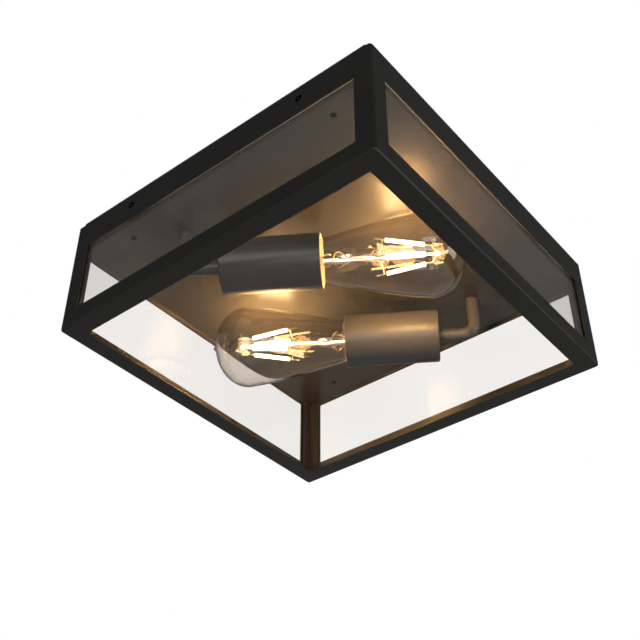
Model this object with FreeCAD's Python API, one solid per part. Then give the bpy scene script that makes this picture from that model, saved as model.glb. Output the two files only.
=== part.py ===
"""Flush ceiling lantern for a porch: a square black steel cage with four clear panes, open below.

A folded steel tray screws to the ceiling and carries two lampholders on bent tubes, head to tail, each
with a clear pear-shaped filament bulb. The cage slips over the tray and is held by four side screws.

Millimetres. +Z is up. The origin is the middle of the ceiling plane, where the tray's rims touch it, so the
lantern hangs down to -Z. The left and right sides (-X and +X) are the ones with the side screws.
"""

import FreeCAD, Part
import math
import os

from FreeCAD import Vector

# ---- cage: folded sheet, welded at the corners ----
cage_width = 280.0
cage_height = 99.0
cage_sheet = 1.2
cage_corner_radius = 2.5
cage_foot_radius = 1.6
top_band_height = 24.5
bottom_rail_height = 15.0
bottom_flange_width = 14.0
post_width = 14.5

# ---- ceiling tray: one folded sheet, flanges up ----
rim_proud = 3.5
tray_depth = 25.5
tray_sheet = 1.2
tray_clearance = 0.3
tray_bend_radius = 2.0
tray_corner_relief = 4.0
tray_end_flange_step = 7.0
fixing_hole_spacing_x = 240.0
fixing_hole_spacing_y = 190.0
fixing_hole_diameter = 5.0

# ---- side screws that hold the cage on the tray, and their clinch nuts ----
side_screw_spacing = 160.0
side_screw_drop = 10.5
side_screw_diameter = 3.0
side_screw_head_diameter = 5.6
side_screw_length = 8.0
side_screw_socket_width = 2.0
side_screw_socket_depth = 1.1
clinch_nut_diameter = 6.4
clinch_nut_height = 2.5

# ---- glazing ----
pane_thickness = 3.0
pane_clearance = 0.3
pane_guide_leg = 9.0
pane_guide_sheet = 1.0
pane_guide_notch = 3.0

# ---- lampholders: where they sit under the tray ----
lamp_azimuth = -56.8
lamp_axis_drop = 33.5
lamp_axis_offset = 48.5
sleeve_mouth_setback = 4.8

# ---- bent arm tube ----
arm_tube_diameter = 10.0
arm_tube_bore = 5.6
arm_spigot_diameter = 8.0
arm_bend_radius = 10.0
arm_bend_steps = 5
arm_reach = 28.7
arm_nut_width = 13.0
arm_nut_height = 5.0
arm_washer_diameter = 16.0
arm_washer_thickness = 1.2
arm_thread_overhang = 1.5
spigot_hole_clearance = 0.15
thread_clearance = 0.05

# ---- sleeve over the lampholder ----
sleeve_diameter = 41.0
sleeve_length = 72.5
sleeve_wall = 0.9
sleeve_back_radius = 1.2

# ---- lampholder insert for a 27 mm screw cap ----
holder_body_diameter = 37.0
holder_body_length = 36.5
holder_mouth_depth = 9.5
holder_floor = 8.0
holder_mouth_rim = 1.6
holder_base_length = 14.0
holder_base_wall = 2.0
holder_boss_diameter = 16.0
shell_inner_diameter = 26.6
shell_wall = 0.4
shell_seat_clearance = 0.2
shell_length = 22.0
plunger_head_diameter = 8.0
plunger_head_thickness = 1.2
plunger_stem_diameter = 4.0
plunger_stem_length = 11.0
plunger_running_clearance = 0.06
spring_outer_diameter = 6.4
spring_wire = 0.6
spring_length = 4.0
spring_pocket_clearance = 0.3

# ---- bulb, 64 mm pear with a drawn tip ----
bulb_diameter = 64.0
bulb_widest_reach = 78.0
bulb_end_reach = 103.8
bulb_tip_reach = 2.4
bulb_tip_radius = 2.6
bulb_throat_reach = -3.0
bulb_throat_diameter = 30.2
bulb_waist_reach = 20.0
bulb_waist_diameter = 42.0
bulb_belly_reach = 55.0
bulb_belly_diameter = 57.6
bulb_neck_diameter = 25.0
bulb_neck_in_cap = 11.0
bulb_glass = 0.8
bulb_side_steps = 7
bulb_end_steps = 4
cap_diameter = 26.3
cap_wall = 0.4
cap_skirt_length = 19.5
cap_lip_diameter = 23.0
insulator_length = 4.6
insulator_tip_diameter = 11.0
eyelet_diameter = 9.6
eyelet_height = 2.4
eyelet_seat_clearance = 0.02

# ---- inside the bulb ----
stem_flare_seat_gap = 0.2
stem_tube_diameter = 8.0
stem_bore = 5.0
stem_flare_length = 8.0
stem_reach = 22.0
stem_pinch_length = 6.0
filament_diameter = 1.8
filament_length = 28.0
filament_start = 46.0
filament_base_radius = 12.0
filament_end_radius = 7.0
filament_count = 4
filament_turn = 38.0
support_rod_diameter = 1.0
support_rod_end = 83.0
support_wire_diameter = 0.7
weld_gap = 0.15

# ---- wiring parts on the hidden side of the tray ----
terminal_block_length = 30.0
terminal_block_width = 17.0
terminal_block_height = 14.0
terminal_pole_pitch = 10.0
terminal_screw_spacing = 8.0
terminal_screw_diameter = 3.5
terminal_screw_length = 4.0
terminal_bore = 3.2
earth_stud_diameter = 4.0
earth_stud_length = 12.0
earth_stud_position = Vector(0.0, 42.0, 0.0)
earth_washer_diameter = 9.0
earth_washer_thickness = 0.8
earth_nut_width = 7.0
earth_nut_height = 3.2

# ---- places worked out from the sizes above ----
half_cage = cage_width / 2
cage_top = -rim_proud
cage_bottom = cage_top - cage_height
window_top = cage_top - top_band_height
window_bottom = cage_bottom + bottom_rail_height
half_cage_inside = half_cage - cage_sheet
half_opening = half_cage - bottom_flange_width
half_window = half_cage - post_width
flange_top = cage_bottom + cage_sheet

half_tray = half_cage_inside - tray_clearance
plate_underside = -tray_depth
plate_top = plate_underside + tray_sheet
half_tray_inside = half_tray - tray_sheet
side_screw_z = cage_top - side_screw_drop

pane_outer_face = half_cage_inside - pane_clearance
pane_inner_face = pane_outer_face - pane_thickness
half_pane = pane_inner_face - pane_clearance
pane_guide_face = pane_inner_face - pane_clearance
pane_top = plate_underside - pane_clearance

lamp_axis_z = plate_underside - lamp_axis_drop

# Distances along a lamp's axis are counted from the sleeve's mouth, negative towards the arm.
sleeve_back = -sleeve_length
sleeve_back_inside = sleeve_back + sleeve_wall
holder_mouth = -holder_mouth_depth
holder_body_back = holder_mouth - holder_body_length
holder_floor_face = holder_body_back + holder_floor
holder_base_back = holder_body_back - holder_base_length
shell_front = holder_mouth - holder_mouth_rim
shell_back = shell_front - shell_length
cap_front = holder_mouth
cap_skirt_back = cap_front - cap_skirt_length
insulator_back = cap_skirt_back - insulator_length
eyelet_back = insulator_back - eyelet_height
plunger_face = eyelet_back
plunger_back = plunger_face - plunger_head_thickness
neck_end = cap_front - bulb_neck_in_cap
arm_column = sleeve_back - arm_reach
spigot_length = holder_base_back - sleeve_back + holder_base_wall

# Round pieces are made in flats, so that their facets stay few.
LATHE_SIDES = 24
BULB_SIDES = 24
SMALL_SIDES = 12
ROD_SIDES = 8

X_AXIS = Vector(1, 0, 0)
Y_AXIS = Vector(0, 1, 0)
Z_AXIS = Vector(0, 0, 1)
ORIGIN = Vector(0, 0, 0)
SIDES = {"front": -90.0, "right": 0.0, "back": 90.0, "left": 180.0}
CORNERS = {"front_left": (-1, -1), "front_right": (1, -1), "back_left": (-1, 1), "back_right": (1, 1)}


# ---- helpers ----
def box(x_low, x_high, y_low, y_high, z_low, z_high):
    """A box between two corners."""
    return Part.makeBox(x_high - x_low, y_high - y_low, z_high - z_low, Vector(x_low, y_low, z_low))


def square_block(half_side, z_low, z_high):
    """A square block centred on the vertical axis."""
    return box(-half_side, half_side, -half_side, half_side, z_low, z_high)


def upright_edges(shape):
    """The vertical straight edges of a block."""
    return [e for e in shape.Edges if abs(e.tangentAt(e.FirstParameter).z) > 0.99]


def edges_at_height(shape, z):
    """The edges that lie at one height."""
    return [e for e in shape.Edges if abs(e.BoundBox.ZMin - z) < 1e-6 and abs(e.BoundBox.ZMax - z) < 1e-6]


def prism(points, height):
    """A straight prism over a flat outline."""
    return Part.Face(Part.makePolygon(points + [points[0]])).extrude(Vector(0, 0, height))


def skinned(rings):
    """A solid over closed rings of points, each joined to the next and the last to the first by flat facets.

    A ring of one point is a pole.
    """
    faces = []
    for ring, following in zip(rings, rings[1:] + rings[:1]):
        for k in range(max(len(ring), len(following))):
            here = [ring[k % len(ring)], ring[(k + 1) % len(ring)]]
            there = [following[(k + 1) % len(following)], following[k % len(following)]]
            corners = here + there
            corners = [c for i, c in enumerate(corners) if not c.isEqual(corners[i - 1], 1e-6)]
            if len(corners) > 2:
                faces.append(Part.Face(Part.makePolygon(corners + corners[:1])))
    shell = Part.makeShell(faces)
    shell.sewShape()
    solid = Part.Solid(shell)
    if solid.Volume < 0:
        solid.reverse()
    return solid.removeSplitter()


def ring_angles(sides):
    """The angles of the corners of a round outline that is made of flats."""
    return [2 * math.pi * (k + 0.5) / sides for k in range(sides)]


def turned(profile, sides=LATHE_SIDES):
    """Turn a half section of (distance along the axis, radius) corners about the lamp's axis, in flats."""
    rings = []
    for along, radius in profile:
        spokes = ring_angles(sides) if radius else [0.0]
        rings.append([Vector(along, radius * math.cos(a), radius * math.sin(a)) for a in spokes])
    return skinned(rings)


def washer_section(outer, inner, start, end):
    """The half section of a ring between two distances along the axis."""
    return [(start, inner), (start, outer), (end, outer), (end, inner)]


def rod(diameter, start, end, sides=ROD_SIDES):
    """A straight round rod between two points, in flats."""
    length = (end - start).Length
    bar = turned([(0, 0), (0, diameter / 2), (length, diameter / 2), (length, 0)], sides)
    bar.Placement = FreeCAD.Placement(start, FreeCAD.Rotation(X_AXIS, end - start))
    return bar


def standing(shape, foot):
    """Stand a piece that was made along X upright on a foot point."""
    upright = shape.copy()
    upright.Placement = FreeCAD.Placement(foot, FreeCAD.Rotation(X_AXIS, Z_AXIS))
    return upright


def hole_round(radius, sides):
    """The corner radius of a hole in flats that clears a round bar of the given radius."""
    return (radius + thread_clearance) / math.cos(math.pi / sides)


def hexagon(across_flats, height, centre, turn=0.0):
    """An upright hexagonal block."""
    radius = across_flats / math.sqrt(3)
    angles = [math.radians(60 * i + turn) for i in range(6)]
    return prism([centre + Vector(radius * math.cos(a), radius * math.sin(a), 0) for a in angles], height)


def facing(shape, side):
    """Turn a piece that was made for the right-hand side (+X) to the named side."""
    turned_shape = shape.copy()
    turned_shape.rotate(ORIGIN, Z_AXIS, SIDES[side])
    return turned_shape


def on_lamp(shape, lamp):
    """Carry a piece from a lamp's own axis to its place under the tray. Lamp 2 is lamp 1 turned half round."""
    placed = shape.copy()
    placed.translate(Vector(-sleeve_mouth_setback, -lamp_axis_offset, lamp_axis_z))
    placed.rotate(ORIGIN, Z_AXIS, lamp_azimuth + 180.0 * (lamp - 1))
    return placed


def lamp_column_xy(lamp):
    """Where a lamp's arm meets the tray."""
    point = Vector(arm_column - sleeve_mouth_setback, -lamp_axis_offset, 0)
    return FreeCAD.Rotation(Z_AXIS, lamp_azimuth + 180.0 * (lamp - 1)).multVec(point)


def save(node, *solids):
    """Write one node: a single solid, or a group of separate ones."""
    single = [s for shape in solids for s in shape.Solids]
    shape = single[0] if len(single) == 1 else Part.makeCompound(single)
    shape.exportStep(os.path.join("parts", node + ".step"))


# ---- cage ----
def cage_shell():
    """The whole cage before it is parted: a rounded square tube with a floor flange and four windows."""
    outside = square_block(half_cage, cage_bottom, cage_top)
    outside = outside.makeFillet(cage_corner_radius, upright_edges(outside))
    outside = outside.makeFillet(cage_foot_radius, edges_at_height(outside, cage_bottom))
    inside = square_block(half_cage_inside, flange_top, cage_top + 1)
    inside = inside.makeFillet(cage_corner_radius - cage_sheet, upright_edges(inside))
    shell = outside.cut(inside)
    shell = shell.cut(square_block(half_opening, cage_bottom - 1, flange_top + 1))
    reach = half_cage + 1
    shell = shell.cut(box(-reach, reach, -half_window, half_window, window_bottom, window_top))
    return shell.cut(box(-half_window, half_window, -reach, reach, window_bottom, window_top))


def side_wedge(z_low, z_high):
    """The quarter of the plan that belongs to the right-hand side, between the two mitre planes."""
    reach = cage_width
    return prism([Vector(0, 0, z_low), Vector(reach, -reach, z_low), Vector(reach, reach, z_low)], z_high - z_low)


def countersunk_holes():
    """Two side-screw holes with their countersinks, on the right-hand side."""
    head = hole_round(side_screw_head_diameter / 2, SMALL_SIDES)
    shank = hole_round(side_screw_diameter / 2, SMALL_SIDES)
    section = [(0, 0), (0, head), (shank - head, shank), (-side_screw_length, shank), (-side_screw_length, 0)]
    tools = []
    for y in (-side_screw_spacing / 2, side_screw_spacing / 2):
        tool = turned(section, SMALL_SIDES)
        tool.translate(Vector(half_cage, y, side_screw_z))
        tools.append(tool)
    return tools


def build_cage():
    """Part the cage into top bands, corner posts and bottom rails."""
    shell = cage_shell()
    band = shell.common(side_wedge(window_top, cage_top))
    rail = shell.common(side_wedge(cage_bottom, window_bottom))
    screwed_band = band.cut(Part.makeCompound(countersunk_holes()))
    for side in SIDES:
        save("cage_top_band_" + side, facing(screwed_band if side in ("left", "right") else band, side))
        save("cage_bottom_rail_" + side, facing(rail, side))
    for corner, (x_sign, y_sign) in CORNERS.items():
        reach = half_cage + 1
        x_range = sorted((x_sign * half_window, x_sign * reach))
        y_range = sorted((y_sign * half_window, y_sign * reach))
        save("cage_post_" + corner, shell.common(box(*x_range, *y_range, window_bottom, window_top)))


# ---- ceiling tray and what holds the cage to it ----
def build_tray():
    """The folded tray: a plate with four flanges, low ones at the front and back, open at the corners."""
    tray = square_block(half_tray, plate_underside, 0)
    tray = tray.makeFillet(tray_bend_radius, edges_at_height(tray, plate_underside))
    inside = square_block(half_tray_inside, plate_top, 1)
    tray = tray.cut(inside.makeFillet(tray_bend_radius - tray_sheet, edges_at_height(inside, plate_top)))
    relief = half_tray - tray_corner_relief
    reach = half_tray + 1
    for x_sign, y_sign in CORNERS.values():
        x_range = sorted((x_sign * relief, x_sign * reach))
        y_range = sorted((y_sign * relief, y_sign * reach))
        tray = tray.cut(box(*x_range, *y_range, plate_underside - 1, 1))
    tray = tray.cut(box(-relief, relief, -reach, reach, -tray_end_flange_step, 1))
    for x in (-fixing_hole_spacing_x / 2, fixing_hole_spacing_x / 2):
        for y in (-fixing_hole_spacing_y / 2, fixing_hole_spacing_y / 2):
            tray = tray.cut(Part.makeCylinder(fixing_hole_diameter / 2, tray_depth, Vector(x, y, -tray_depth - 1)))
    spigot_hole = hole_round(arm_spigot_diameter / 2 + spigot_hole_clearance, SMALL_SIDES)
    for lamp in (1, 2):
        foot = lamp_column_xy(lamp) + Vector(0, 0, plate_underside - 1)
        tray = tray.cut(rod(2 * spigot_hole, foot, foot + Z_AXIS * (tray_sheet + 2), SMALL_SIDES))
    screw_hole = hole_round(side_screw_diameter / 2, SMALL_SIDES)
    for y in (-side_screw_spacing / 2, side_screw_spacing / 2):
        start = Vector(-reach, y, side_screw_z)
        tray = tray.cut(rod(2 * screw_hole, start, start + X_AXIS * 2 * reach, SMALL_SIDES))
    save("ceiling_tray", tray)


def side_screw(y):
    """A countersunk screw in the right-hand side of the cage, with a hexagonal drive socket."""
    head = side_screw_head_diameter / 2
    shank = side_screw_diameter / 2
    section = [(0, 0), (0, head), (shank - head, shank), (-side_screw_length, shank), (-side_screw_length, 0)]
    screw = turned(section, SMALL_SIDES)
    socket = hexagon(side_screw_socket_width, 2 * side_screw_socket_depth, -Z_AXIS * side_screw_socket_depth)
    socket.rotate(ORIGIN, Y_AXIS, 90)
    screw = screw.cut(socket)
    screw.translate(Vector(half_cage, y, side_screw_z))
    return screw


def clinch_nut(y):
    """A round nut pressed into the tray's right-hand flange, on its hidden face."""
    hole = hole_round(side_screw_diameter / 2, SMALL_SIDES)
    nut = turned(washer_section(clinch_nut_diameter / 2, hole, -clinch_nut_height, 0), SMALL_SIDES)
    nut.translate(Vector(half_tray_inside, y, side_screw_z))
    return nut


def build_side_fasteners():
    """Four side screws and four clinch nuts, two of each on the left and the right."""
    places = [(side, y) for side in ("left", "right") for y in (-side_screw_spacing / 2, side_screw_spacing / 2)]
    save("cage_side_screws", *[facing(side_screw(y), side) for side, y in places])
    save("tray_clinch_nuts", *[facing(clinch_nut(y), side) for side, y in places])


# ---- glazing ----
def build_glazing():
    """Four panes that stand on the bottom flange, and the angle strip that keeps them in at each corner."""
    pane = box(pane_inner_face, pane_outer_face, -half_pane, half_pane, flange_top, pane_top)
    for side in SIDES:
        save("glass_pane_" + side, facing(pane, side))
    outer = pane_guide_face
    inner = outer - pane_guide_sheet
    leg_end = outer - pane_guide_leg
    guide = box(leg_end, outer, leg_end, outer, flange_top, pane_top)
    guide = guide.cut(box(leg_end - 1, inner, leg_end - 1, inner, flange_top - 1, pane_top + 1))
    notch_top = flange_top + pane_guide_notch
    notch_start = outer - 2 * pane_guide_notch
    guide = guide.cut(box(notch_start, inner, inner - 1, outer + 1, flange_top - 1, notch_top))
    guide = guide.cut(box(inner - 1, outer + 1, notch_start, inner, flange_top - 1, notch_top))
    turns = {"back_right": 0.0, "back_left": 90.0, "front_left": 180.0, "front_right": 270.0}
    for corner, angle in turns.items():
        placed = guide.copy()
        placed.rotate(ORIGIN, Z_AXIS, angle)
        save("pane_guide_" + corner, placed)


# ---- arm, sleeve and lampholder ----
def arm_ring(along, height, lean, radius):
    """A ring round the arm's path, at a place on it and square to it. Lean is 0 on the column, 90 on the axis."""
    out = Vector(math.cos(math.radians(lean)), 0, math.sin(math.radians(lean)))
    centre = Vector(along, 0, height)
    return [centre + (out * math.cos(a) + Y_AXIS * math.sin(a)) * radius for a in ring_angles(SMALL_SIDES)]


def arm_tube():
    """The bent tube, its two threaded spigots and the wire bore right through it.

    The rings go down the column, round the bend and along the axis on the outside, then back in the bore.
    """
    top = lamp_axis_drop + tray_sheet + arm_washer_thickness + arm_nut_height + arm_thread_overhang
    spigot_end = sleeve_back + spigot_length
    leans = [90.0 * i / arm_bend_steps for i in range(arm_bend_steps + 1)]
    bend = []
    for lean in leans:
        along = arm_column + arm_bend_radius * (1 - math.cos(math.radians(lean)))
        height = arm_bend_radius * (1 - math.sin(math.radians(lean)))
        bend.append((along, height, lean))
    tube = arm_tube_diameter / 2
    spigot = arm_spigot_diameter / 2
    bore = arm_tube_bore / 2
    column = [(arm_column, top, 0.0), (arm_column, lamp_axis_drop, 0.0)]
    level = [(sleeve_back, 0.0, 90.0), (spigot_end, 0.0, 90.0)]
    rings = [arm_ring(*place, spigot) for place in column]
    rings += [arm_ring(*place, tube) for place in column[1:] + bend + level[:1]]
    rings += [arm_ring(*place, spigot) for place in level]
    rings += [arm_ring(*place, bore) for place in level[1:] + bend[::-1] + column[:1]]
    return skinned(rings)


def sleeve():
    """The drawn steel cup that hides the lampholder: a thin wall, a rounded back and a hole for the spigot."""
    outer = sleeve_diameter / 2
    inner = outer - sleeve_wall
    hole = hole_round(arm_spigot_diameter / 2, LATHE_SIDES)
    shoulder = sleeve_back_radius * (1 - math.sqrt(0.5))
    return turned(
        [
            (sleeve_back, hole),
            (sleeve_back, outer - sleeve_back_radius),
            (sleeve_back + shoulder, outer - shoulder),
            (sleeve_back + sleeve_back_radius, outer),
            (0, outer),
            (0, inner),
            (sleeve_back_inside, inner),
            (sleeve_back_inside, hole),
        ]
    )


def holder_body():
    """The insulating front of the lampholder: a cup round the screw shell, with ribs for grip outside."""
    outer = holder_body_diameter / 2
    shell_seat = shell_inner_diameter / 2 + shell_wall + shell_seat_clearance
    plunger_bore = (plunger_stem_diameter / 2 + plunger_running_clearance) / math.cos(math.pi / LATHE_SIDES)
    pocket = spring_outer_diameter / 2 + spring_pocket_clearance
    pocket_floor = plunger_back - spring_length - spring_pocket_clearance
    mouth = shell_inner_diameter / 2
    return turned(
        [
            (holder_body_back, plunger_bore),
            (holder_body_back, outer),
            (holder_mouth - holder_mouth_rim, outer),
            (holder_mouth, outer - holder_mouth_rim),
            (holder_mouth, mouth),
            (shell_front, mouth),
            (shell_front, shell_seat),
            (shell_back - shell_wall, shell_seat),
            (shell_back - shell_wall, mouth - 2 * shell_wall),
            (holder_floor_face, mouth - 2 * shell_wall),
            (holder_floor_face, pocket),
            (pocket_floor, pocket),
            (pocket_floor, plunger_bore),
        ]
    )


def holder_base():
    """The back of the lampholder: a wiring cup with a threaded boss that screws on to the arm."""
    outer = holder_body_diameter / 2
    boss = holder_boss_diameter / 2
    thread = hole_round(arm_spigot_diameter / 2, LATHE_SIDES)
    return turned(
        [
            (sleeve_back_inside, thread),
            (sleeve_back_inside, boss),
            (holder_base_back, boss),
            (holder_base_back + holder_base_wall, outer),
            (holder_body_back, outer),
            (holder_body_back, outer - holder_base_wall),
            (holder_base_back + 2 * holder_base_wall, outer - holder_base_wall),
            (holder_base_back + 2 * holder_base_wall, thread),
        ]
    )


def screw_shell():
    """The brass shell that the bulb's cap screws into."""
    inner = shell_inner_diameter / 2
    lip = inner - 2 * shell_wall
    return turned(
        [
            (shell_front, inner),
            (shell_front, inner + shell_wall),
            (shell_back - shell_wall, inner + shell_wall),
            (shell_back - shell_wall, lip),
            (shell_back, lip),
            (shell_back, inner),
        ]
    )


def contact_plunger():
    """The sprung brass plunger that meets the bulb's centre contact."""
    head = plunger_head_diameter / 2
    stem = plunger_stem_diameter / 2
    stem_back = plunger_back - plunger_stem_length
    section = [(plunger_face, 0), (plunger_face, head), (plunger_back, head)]
    return turned(section + [(plunger_back, stem), (stem_back, stem), (stem_back, 0)], SMALL_SIDES)


def contact_spring():
    """The spring behind the plunger's head, as the ring of space that its turns fill."""
    outer = spring_outer_diameter / 2
    section = washer_section(outer, outer - spring_wire, plunger_back - spring_length, plunger_back)
    return turned(section, SMALL_SIDES)


# ---- bulb ----
def bulb_side(inset):
    """One surface of the glass, from the neck's end to the widest place, as (distance, radius) points."""
    stations = [
        (cap_front, bulb_neck_diameter),
        (bulb_throat_reach, bulb_throat_diameter),
        (bulb_waist_reach, bulb_waist_diameter),
        (bulb_belly_reach, bulb_belly_diameter),
        (bulb_widest_reach, bulb_diameter),
    ]
    curve = Part.BSplineCurve()
    points = [Vector(along, diameter / 2, 0) for along, diameter in stations]
    curve.interpolate(Points=points, InitialTangent=X_AXIS, FinalTangent=X_AXIS)
    places = curve.discretize(Number=bulb_side_steps + 1)
    return [(neck_end, bulb_neck_diameter / 2 - inset)] + [(p.x, p.y - inset) for p in places]


def bulb_round_end(inset, tip_radius, tip_reach):
    """One surface of the round end, a quarter ellipse and then the drawn tip, as (distance, radius) points."""
    depth = bulb_end_reach - bulb_widest_reach - inset
    radius = bulb_diameter / 2 - inset
    stop = math.asin(tip_radius / radius)
    angles = [math.pi / 2 + (stop - math.pi / 2) * i / bulb_end_steps for i in range(1, bulb_end_steps + 1)]
    arc = [(bulb_widest_reach + depth * math.cos(a), radius * math.sin(a)) for a in angles]
    tip = bulb_widest_reach + depth + tip_reach
    return arc + [(tip - tip_reach / 3, tip_radius / 2), (tip, 0)]


def bulb_envelope():
    """The clear glass: a thin-walled pear with an open neck and a drawn tip."""
    outer = bulb_side(0) + bulb_round_end(0, bulb_tip_radius, bulb_tip_reach)
    inner = bulb_side(bulb_glass) + bulb_round_end(bulb_glass, bulb_tip_radius / 2, bulb_tip_reach / 3)
    return turned(outer + inner[::-1], BULB_SIDES)


def bulb_cap():
    """The nickelled screw cap: a thin cup with a rolled front edge and an inward lip behind."""
    outer = cap_diameter / 2
    inner = outer - cap_wall
    lip = cap_lip_diameter / 2
    neck_hole = hole_round(bulb_neck_diameter / 2, LATHE_SIDES)
    return turned(
        [
            (cap_front, neck_hole),
            (cap_front, inner),
            (cap_front - cap_wall, outer),
            (cap_skirt_back + cap_wall, outer),
            (cap_skirt_back, lip),
            (cap_skirt_back, lip - cap_wall),
            (cap_skirt_back + cap_wall, lip - cap_wall),
            (cap_skirt_back + 2 * cap_wall, inner),
            (cap_front - 2 * cap_wall, inner),
            (cap_front - 2 * cap_wall, neck_hole),
        ]
    )


def bulb_insulator():
    """The dark glass cone between the cap and the centre contact."""
    front = cap_skirt_back
    return turned(
        [
            (front, 0),
            (front, cap_lip_diameter / 2 - cap_wall),
            (front - cap_wall, cap_lip_diameter / 2 - cap_wall),
            (insulator_back, insulator_tip_diameter / 2),
            (insulator_back, 0),
        ]
    )


def bulb_eyelet():
    """The centre contact: a low dome on the end of the bulb, which turns against it."""
    rim = eyelet_diameter / 2
    front = insulator_back - eyelet_seat_clearance
    shoulder = (eyelet_back + eyelet_height / 3, rim * 0.7)
    section = [(front, 0), (front, rim), shoulder, (eyelet_back, rim / 3), (eyelet_back, 0)]
    return turned(section, SMALL_SIDES)


def bulb_stem():
    """The glass mount: a flared foot in the neck, a tube and a flattened pinch that holds the wires."""
    flare = (bulb_neck_diameter / 2 - bulb_glass) * math.cos(math.pi / BULB_SIDES) - stem_flare_seat_gap
    tube = stem_tube_diameter / 2
    bore = stem_bore / 2
    wall = tube - bore
    tube_start = neck_end + 2 * wall + stem_flare_length
    tube_end = stem_reach - stem_pinch_length
    stem = turned(
        [
            (neck_end, flare - wall),
            (neck_end, flare),
            (neck_end + wall, flare),
            (tube_start, tube),
            (tube_end, tube),
            (tube_end, 0),
            (tube_end - wall, 0),
            (tube_end - wall, bore),
            (tube_start, bore),
        ],
        SMALL_SIDES,
    )
    pinch = box(tube_end, stem_reach, -tube, tube, -wall, wall)
    return stem.fuse(pinch).removeSplitter()


def filament_ends(index):
    """The two ends of one filament, which leans in towards the bulb's tip."""
    angle = math.radians(360.0 / filament_count * index + filament_turn)
    spoke = Vector(0, math.cos(angle), math.sin(angle))
    lean = filament_base_radius - filament_end_radius
    run = math.sqrt(filament_length**2 - lean**2)
    base = Vector(filament_start, 0, 0) + spoke * filament_base_radius
    end = Vector(filament_start + run, 0, 0) + spoke * filament_end_radius
    return base, end


def bulb_filaments():
    """The light-emitting rods."""
    return [rod(filament_diameter, *filament_ends(i)) for i in range(filament_count)]


def bulb_supports():
    """The centre rod and the wires that carry the filaments at both ends."""
    start = Vector(stem_reach, 0, 0)
    hub = Vector(support_rod_end, 0, 0)
    frame = Part.makeCylinder(support_rod_diameter / 2, (hub - start).Length, start, X_AXIS)
    for i in range(filament_count):
        base, end = filament_ends(i)
        along = (end - base).normalize()
        frame = frame.fuse([rod(support_wire_diameter, start + X_AXIS, base - along * weld_gap)])
        frame = frame.fuse([rod(support_wire_diameter, hub - X_AXIS, end + along * weld_gap)])
    return frame.removeSplitter()


def build_lamps():
    """Both lamps, head to tail: arm, sleeve, lampholder and bulb."""
    single_pieces = {
        "arm_tube": arm_tube(),
        "holder_sleeve": sleeve(),
        "holder_body": holder_body(),
        "holder_base": holder_base(),
        "holder_screw_shell": screw_shell(),
        "contact_plunger": contact_plunger(),
        "contact_spring": contact_spring(),
        "bulb_envelope": bulb_envelope(),
        "bulb_cap": bulb_cap(),
        "bulb_insulator": bulb_insulator(),
        "bulb_eyelet": bulb_eyelet(),
        "bulb_stem": bulb_stem(),
        "bulb_supports": bulb_supports(),
    }
    filaments = bulb_filaments()
    for lamp in (1, 2):
        for name, piece in single_pieces.items():
            save(name + "_%d" % lamp, on_lamp(piece, lamp))
        save("bulb_filaments_%d" % lamp, *[on_lamp(f, lamp) for f in filaments])


def build_arm_fasteners():
    """A washer and a lock nut on each arm's spigot, on the hidden side of the tray."""
    washers = []
    nuts = []
    hole = hole_round(arm_spigot_diameter / 2, SMALL_SIDES)
    washer = turned(washer_section(arm_washer_diameter / 2, hole, 0, arm_washer_thickness), SMALL_SIDES)
    for lamp in (1, 2):
        seat = lamp_column_xy(lamp) + Vector(0, 0, plate_top)
        nut_seat = seat + Vector(0, 0, arm_washer_thickness)
        washers.append(standing(washer, seat))
        nut = hexagon(arm_nut_width, arm_nut_height, nut_seat, lamp_azimuth)
        nuts.append(nut.cut(rod(2 * hole, nut_seat, nut_seat + Z_AXIS * arm_nut_height, SMALL_SIDES)))
    save("arm_washers", *washers)
    save("arm_lock_nuts", *nuts)


# ---- wiring parts ----
def build_terminal_block():
    """A three-pole screw terminal block on the tray's hidden side, with its clamp screws."""
    half_length = terminal_block_length / 2
    half_width = terminal_block_width / 2
    top = plate_top + terminal_block_height
    block = box(-half_length, half_length, -half_width, half_width, plate_top, top)
    block = block.makeChamfer(1.0, edges_at_height(block, top))
    screws = []
    well = 2 * hole_round(terminal_screw_diameter / 2, ROD_SIDES)
    for pole in (-1, 0, 1):
        x = pole * terminal_pole_pitch
        wire_start = Vector(x, -half_width - 1, plate_top + terminal_block_height / 3)
        block = block.cut(rod(terminal_bore, wire_start, wire_start + Y_AXIS * (terminal_block_width + 2)))
        for y in (-terminal_screw_spacing / 2, terminal_screw_spacing / 2):
            foot = Vector(x, y, top - 1 - terminal_screw_length)
            block = block.cut(rod(well, foot, foot + Z_AXIS * (terminal_screw_length + 2)))
            screws.append(rod(terminal_screw_diameter, foot, foot + Z_AXIS * terminal_screw_length))
    save("terminal_block", block)
    save("terminal_screws", *screws)


def build_earth_terminal():
    """The welded earth stud with its washer and nut."""
    foot = earth_stud_position + Vector(0, 0, plate_top)
    hole = hole_round(earth_stud_diameter / 2, SMALL_SIDES)
    washer = turned(washer_section(earth_washer_diameter / 2, hole, 0, earth_washer_thickness), SMALL_SIDES)
    nut_seat = foot + Vector(0, 0, earth_washer_thickness)
    nut = hexagon(earth_nut_width, earth_nut_height, nut_seat)
    nut = nut.cut(rod(2 * hole, nut_seat, nut_seat + Z_AXIS * earth_nut_height, SMALL_SIDES))
    save("earth_stud", rod(earth_stud_diameter, foot, foot + Z_AXIS * earth_stud_length, SMALL_SIDES))
    save("earth_nut_and_washer", standing(washer, foot), nut)


def main():
    """Build every node."""
    os.makedirs("parts", exist_ok=True)
    build_cage()
    build_tray()
    build_side_fasteners()
    build_glazing()
    build_lamps()
    build_arm_fasteners()
    build_terminal_block()
    build_earth_terminal()


main()
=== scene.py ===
"""Looks of a flush porch ceiling lantern: a black steel cage with clear panes and two filament bulbs.

Lengths are in metres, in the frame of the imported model: +Z up, the ceiling plane at z = 0.
"""

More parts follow.
